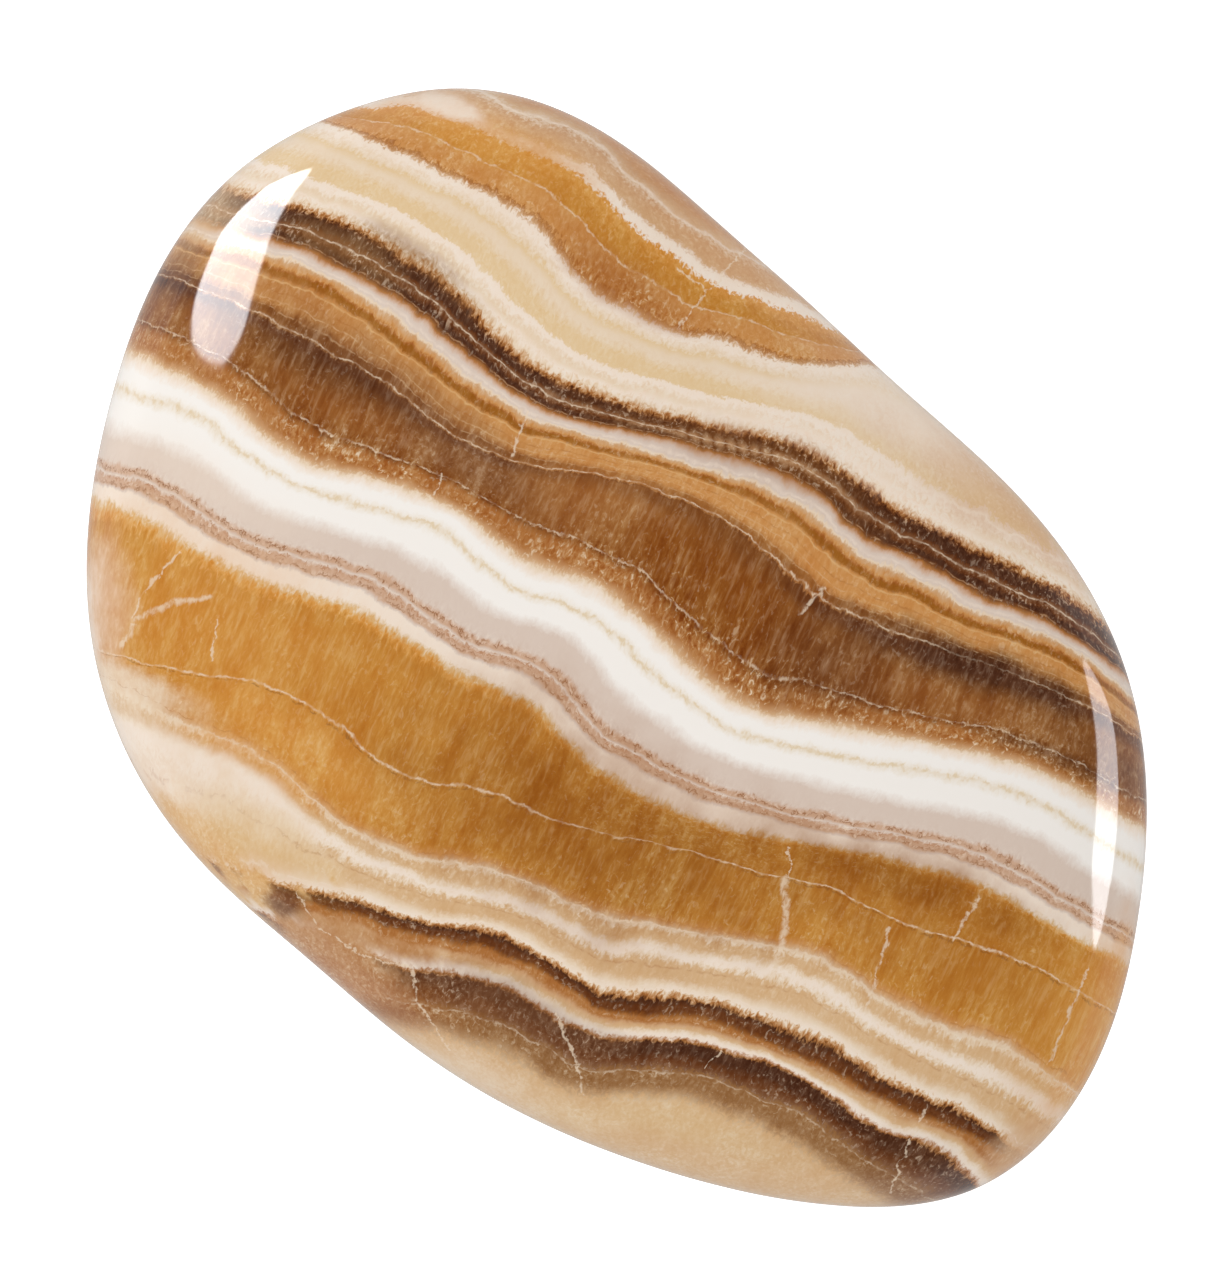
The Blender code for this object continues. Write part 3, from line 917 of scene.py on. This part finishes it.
def store(tree, mesh, name, value, kind, domain):
    """Writes a value onto each point or face of the mesh."""
    return add(tree, "GeometryNodeStoreNamedAttribute", {"Geometry": mesh, "Name": name, "Value": value},
               data_type=kind, domain=domain).outputs[0]


def skin_tree(colours):
    """The polished skin: the solid made smooth and rippled, and each point's place in the layers."""
    tree = bpy.data.node_groups.new("Polished skin", SHAPE_TREE)
    tree.is_modifier = True
    tree.interface.new_socket("Geometry", in_out="INPUT", socket_type="NodeSocketGeometry")
    tree.interface.new_socket("Smoothing", in_out="INPUT", socket_type="NodeSocketInt")
    for name in ("Ripple", "Band turn", "Waist", "Lean"):
        tree.interface.new_socket(name, in_out="INPUT", socket_type=NUMBER)
    tree.interface.new_socket("Material", in_out="INPUT", socket_type="NodeSocketMaterial")
    tree.interface.new_socket("Geometry", in_out="OUTPUT", socket_type="NodeSocketGeometry")
    given = tree.nodes.new("NodeGroupInput").outputs
    result = tree.nodes.new("NodeGroupOutput").inputs
    smooth = add(tree, "GeometryNodeSubdivisionSurface", {
        "Mesh": given["Geometry"], "Level": given["Smoothing"]})
    place = add(tree, "GeometryNodeInputPosition").outputs[0]
    ripple = spread(tree, noise(tree, place, 320.0, detail=1.0), 0.2, 0.8, -1.0, 1.0)
    height = maths(tree, "MULTIPLY", ripple, given["Ripple"])
    outward = add(tree, "GeometryNodeInputNormal").outputs[0]
    lift = arrows(tree, "SCALE", outward, height)
    mesh = add(tree, "GeometryNodeSetPosition", {"Geometry": smooth.outputs[0], "Offset": lift}).outputs[0]
    turned, along, level, up = layer_fields(tree, given)
    mesh = store(tree, mesh, "layer_place", vector(tree, along, level, up), "FLOAT_VECTOR", "POINT")
    tint, cover = cloud_fields(tree, colours, turned, along, level)
    mesh = store(tree, mesh, "cloud_tint", tint, "FLOAT_VECTOR", "POINT")
    mesh = store(tree, mesh, "cloud_cover", cover, "FLOAT", "POINT")
    start, run, width = crack_fields(tree, turned, up)
    mesh = store(tree, mesh, "crack_start", start, "FLOAT_VECTOR", "FACE")
    mesh = store(tree, mesh, "crack_run", run, "FLOAT_VECTOR", "FACE")
    mesh = store(tree, mesh, "crack_width", width, "FLOAT", "FACE")
    shaded = add(tree, "GeometryNodeSetShadeSmooth", {"Geometry": mesh, "Shade Smooth": True})
    realized = add(tree, "GeometryNodeRealizeInstances", {"Geometry": shaded.outputs[0]})
    coated = add(tree, "GeometryNodeSetMaterial", {
        "Geometry": realized.outputs[0], "Material": given["Material"]})
    put(tree, result["Geometry"], coated.outputs[0])
    return tree


def set_input(modifier, name, value):
    """Sets a modifier's input by its socket's identifier."""
    for item in modifier.node_group.interface.items_tree:
        if item.item_type == "SOCKET" and item.in_out == "INPUT" and item.name == name:
            modifier[item.identifier] = value


def merged_copy(node):
    """A copy of a solid's mesh with its loose triangles joined into quads."""
    shape = bmesh.new()
    shape.from_mesh(node.data)
    bmesh.ops.remove_doubles(shape, verts=shape.verts[:], dist=0.001 * MM)
    widest = math.radians(60)
    bmesh.ops.join_triangles(
        shape, faces=shape.faces[:], angle_face_threshold=widest, angle_shape_threshold=widest,
        cmp_seam=False, cmp_sharp=False, cmp_uvs=False, cmp_vcols=False, cmp_materials=False)
    mesh = bpy.data.meshes.new("polished skin")
    shape.to_mesh(mesh)
    shape.free()
    return mesh


class ARAGONITE_OT_stone(bpy.types.Operator):
    """Makes the stone's finished skin round its solid"""

    bl_idname = "aragonite.stone"
    bl_label = "Polished stone"

    def execute(self, context):
        scene = context.scene
        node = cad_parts.get(STONE_NODE)
        if node is None:
            raise RuntimeError("the frame has no stone")
        material = aragonite_material(scene.aragonite_colours, scene.aragonite_stone)
        rough = bpy.data.objects.new("rough skin", merged_copy(node))
        scene.collection.objects.link(rough)
        modifier = rough.modifiers.new("Polished skin", "NODES")
        modifier.node_group = skin_tree(scene.aragonite_colours)
        stone = scene.aragonite_stone
        inputs = {
            "Smoothing": stone.smoothing, "Ripple": stone.ripple, "Band turn": stone.band_turn,
            "Waist": stone.waist, "Lean": stone.lean, "Material": material}
        for name, value in inputs.items():
            set_input(modifier, name, value)
        graph = context.evaluated_depsgraph_get()
        mesh = bpy.data.meshes.new_from_object(rough.evaluated_get(graph), depsgraph=graph)
        rough_mesh = rough.data
        bpy.data.objects.remove(rough)
        bpy.data.meshes.remove(rough_mesh)
        skin = bpy.data.objects.new("aragonite_skin", mesh)
        scene.collection.objects.link(skin)
        if not mesh.materials:
            mesh.materials.append(material)
        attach(skin, "root")
        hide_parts(STONE_NODE)
        return {"FINISHED"}


# Half the floor's side in metres, its white, its white in the polish, and its glow on the stone
FLOOR_HALF = 1.2
FLOOR_WHITE = 0.93
FLOOR_IN_POLISH = 0.45
FLOOR_BOUNCE = 0.2


def floor_material(glow):
    """A white floor panel, lit from below for the camera alone, and dull in the stone's polish."""
    material = bpy.data.materials.new("White floor panel")
    material.use_nodes = True
    tree = material.node_tree
    shader = tree.nodes["Principled BSDF"]
    shader.inputs["Roughness"].default_value = 0.9
    shader.inputs["Specular IOR Level"].default_value = 0.1
    shader.inputs["Emission Color"].default_value = (1.0, 1.0, 1.0, 1.0)
    ray = add(tree, "ShaderNodeLightPath").outputs
    white = spread(tree, ray["Is Glossy Ray"], 0.0, 1.0, FLOOR_WHITE, FLOOR_IN_POLISH)
    put(tree, shader.inputs["Base Color"], white)
    shine = spread(tree, ray["Is Camera Ray"], 0.0, 1.0, FLOOR_BOUNCE, glow)
    put(tree, shader.inputs["Emission Strength"], shine)
    return material


def add_floor(scene, glow):
    """The white floor under the stone."""
    half = FLOOR_HALF
    mesh = bpy.data.meshes.new("floor")
    corners = [(-half, -half, 0), (half, -half, 0), (half, half, 0), (-half, half, 0)]
    mesh.from_pydata(corners, [], [(0, 1, 2, 3)])
    mesh.materials.append(floor_material(glow))
    floor = bpy.data.objects.new("studio_floor", mesh)
    scene.collection.objects.link(floor)


def add_lamp(scene, name, azimuth, elevation, distance, width, height, power):
    """A soft rectangular lamp aimed at the stone. Azimuth is from +X, turning towards +Y."""
    lamp = bpy.data.lights.new(name, "AREA")
    lamp.shape = "RECTANGLE"
    lamp.size = width
    lamp.size_y = height
    lamp.energy = power
    stand = bpy.data.objects.new(name, lamp)
    around = math.radians(azimuth)
    above = math.radians(elevation)
    flat = math.cos(above)
    towards = Vector((flat * math.cos(around), flat * math.sin(around), math.sin(above)))
    stand.location = towards * distance
    stand.rotation_euler = towards.to_track_quat("Z", "Y").to_euler()
    scene.collection.objects.link(stand)
    return stand


def shape_lamp(lamp, near_end, far_end, squareness, cut):
    """Makes a lamp shine unevenly along its width, rounds its corners, and cuts its far lower side."""
    lamp.use_nodes = True
    tree = lamp.node_tree
    place = add(tree, "ShaderNodeNewGeometry").outputs["Parametric"]
    shares = add(tree, "ShaderNodeSeparateXYZ", {0: place}).outputs
    powers = []
    for share in (shares[0], shares[1]):
        off = maths(tree, "ABSOLUTE", maths(tree, "MULTIPLY_ADD", share, 2.0, -1.0))
        powers.append(maths(tree, "POWER", off, squareness))
    inside = spread(tree, maths(tree, "ADD", *powers), 0.85, 1.0, 1.0, 0.0)
    beyond = maths(tree, "MAXIMUM", maths(tree, "MULTIPLY_ADD", shares[0], 2.0, -1.0), 0.0)
    side = maths(tree, "MULTIPLY", maths(tree, "POWER", beyond, 2.2), cut)
    over = maths(tree, "SUBTRACT", maths(tree, "MULTIPLY", shares[1], 2.0), side)
    inside = maths(tree, "MULTIPLY", inside, spread(tree, over, 0.0, 0.08))
    along = spread(tree, shares[0], 0.0, 1.0, near_end, far_end)
    put(tree, tree.nodes["Emission"].inputs["Strength"], maths(tree, "MULTIPLY", along, inside))


# The strip lamps: azimuth, elevation and distance, width and height in metres, turn about the aim,
# brightness at the near and far end, how square the corners are, and how much of a side is cut
STRIPS = (
    ("left_strip", (185.7, 19.2, 0.502), (0.44, 0.21), 48.0, (1.35, 0.95), 8.0, 1.5),
    ("right_strip", (47.0, 13.0, 0.5), (0.275, 0.16), 150.0, (0.85, 1.2), 5.0, 0.0),
)

# Daylight white, a little cooler than the sky
STRIP_WHITE = (0.92, 0.95, 1.0)


def add_strip(scene, name, power, place, size, roll, ends, squareness, cut):
    """A strip lamp that only mirrors in the polish, turned about its own aim."""
    azimuth, elevation, distance = place
    stand = add_lamp(scene, name, azimuth, elevation, distance, *size, power)
    stand.rotation_euler.rotate_axis("Z", math.radians(roll))
    stand.visible_diffuse = False
    stand.data.color = STRIP_WHITE
    shape_lamp(stand.data, *ends, squareness, cut)


# The sky in the polish: the heights between which it darkens, and its strength at each
SKY_HEIGHTS = (0.02, 0.30)
SKY_STRENGTHS = (0.35, 0.02)


def add_sky(scene, strength):
    """Even white light from all round, dark to the polish except near the horizon."""
    sky = bpy.data.worlds.new("Studio")
    sky.use_nodes = True
    tree = sky.node_tree
    ground = tree.nodes["Background"]
    ray = add(tree, "ShaderNodeLightPath").outputs["Is Glossy Ray"]
    look = add(tree, "ShaderNodeTexCoord").outputs["Generated"]
    up = add(tree, "ShaderNodeSeparateXYZ", {0: look}).outputs[2]
    horizon = spread(tree, up, *SKY_HEIGHTS, *SKY_STRENGTHS)
    bright = add(tree, "ShaderNodeMix", data_type="FLOAT")
    put(tree, bright.inputs[0], ray)
    put(tree, bright.inputs[2], strength)
    put(tree, bright.inputs[3], horizon)
    put(tree, ground.inputs["Strength"], bright.outputs[0])
    ground.inputs["Color"].default_value = (1.0, 1.0, 1.0, 1.0)
    scene.world = sky


def add_camera(scene, studio):
    """The camera straight above the stone, turned as the photograph is."""
    camera = bpy.data.cameras.new("Camera")
    camera.sensor_width = SENSOR
    camera.lens = SENSOR * studio.distance / studio.frame_height
    camera.clip_start = 0.01
    eye = bpy.data.objects.new("Camera", camera)
    eye.location = Vector(studio.aim) + Vector((0, 0, studio.distance))
    eye.rotation_euler = (0.0, 0.0, studio.roll)
    scene.collection.objects.link(eye)
    scene.camera = eye


# The lamps that don't mirror in the polish: name, azimuth, elevation, distance and side
SOFT_LAMPS = (
    ("overhead", 0.0, 90.0, 0.9, 0.9),
    ("key", 205.0, 50.0, 0.17, 0.10),
)


class ARAGONITE_OT_studio(bpy.types.Operator):
    """Adds the white floor, the lights and the camera"""

    bl_idname = "aragonite.studio"
    bl_label = "White studio"

    def execute(self, context):
        scene = context.scene
        studio = scene.aragonite_studio
        add_floor(scene, studio.floor_glow)
        add_sky(scene, studio.fill)
        for name, azimuth, elevation, distance, side in SOFT_LAMPS:
            power = getattr(studio, name)
            stand = add_lamp(scene, name + " lamp", azimuth, elevation, distance, side, side, power)
            stand.visible_glossy = False
        for name, *lamp in STRIPS:
            add_strip(scene, name.replace("_", " "), getattr(studio, name), *lamp)
        scene.view_settings.view_transform = "Standard"
        add_camera(scene, studio)
        return {"FINISHED"}


class ARAGONITE_PT_panel(bpy.types.Panel):
    """Lists the steps that build the pebble and its studio"""

    bl_idname = "ARAGONITE_PT_panel"
    bl_label = "Banded aragonite"
    bl_space_type = "VIEW_3D"
    bl_region_type = "UI"
    bl_category = "Aragonite"

    def draw(self, context):
        layout = self.layout
        for settings in ("aragonite_stone", "aragonite_colours", "aragonite_studio"):
            group = getattr(context.scene, settings)
            for name in group.__annotations__:
                layout.prop(group, name)
        layout.operator(ARAGONITE_OT_stone.bl_idname)
        layout.operator(ARAGONITE_OT_studio.bl_idname)


SETTINGS = {
    "aragonite_colours": AragoniteColours,
    "aragonite_stone": AragoniteStone,
    "aragonite_studio": AragoniteStudio,
}
CLASSES = (*SETTINGS.values(), ARAGONITE_OT_stone, ARAGONITE_OT_studio, ARAGONITE_PT_panel)


def register():
    """Registers the classes and gives the scene its settings."""
    for item in CLASSES:
        bpy.utils.register_class(item)
    for name, group in SETTINGS.items():
        setattr(bpy.types.Scene, name, bpy.props.PointerProperty(type=group))


def unregister():
    """Takes the settings and the classes away again."""
    for name in SETTINGS:
        delattr(bpy.types.Scene, name)
    for item in reversed(CLASSES):
        bpy.utils.unregister_class(item)


def main():
    """Builds the stone and its studio."""
    register()
    bpy.ops.aragonite.stone()
    bpy.ops.aragonite.studio()


if __name__ == "__main__":
    main()
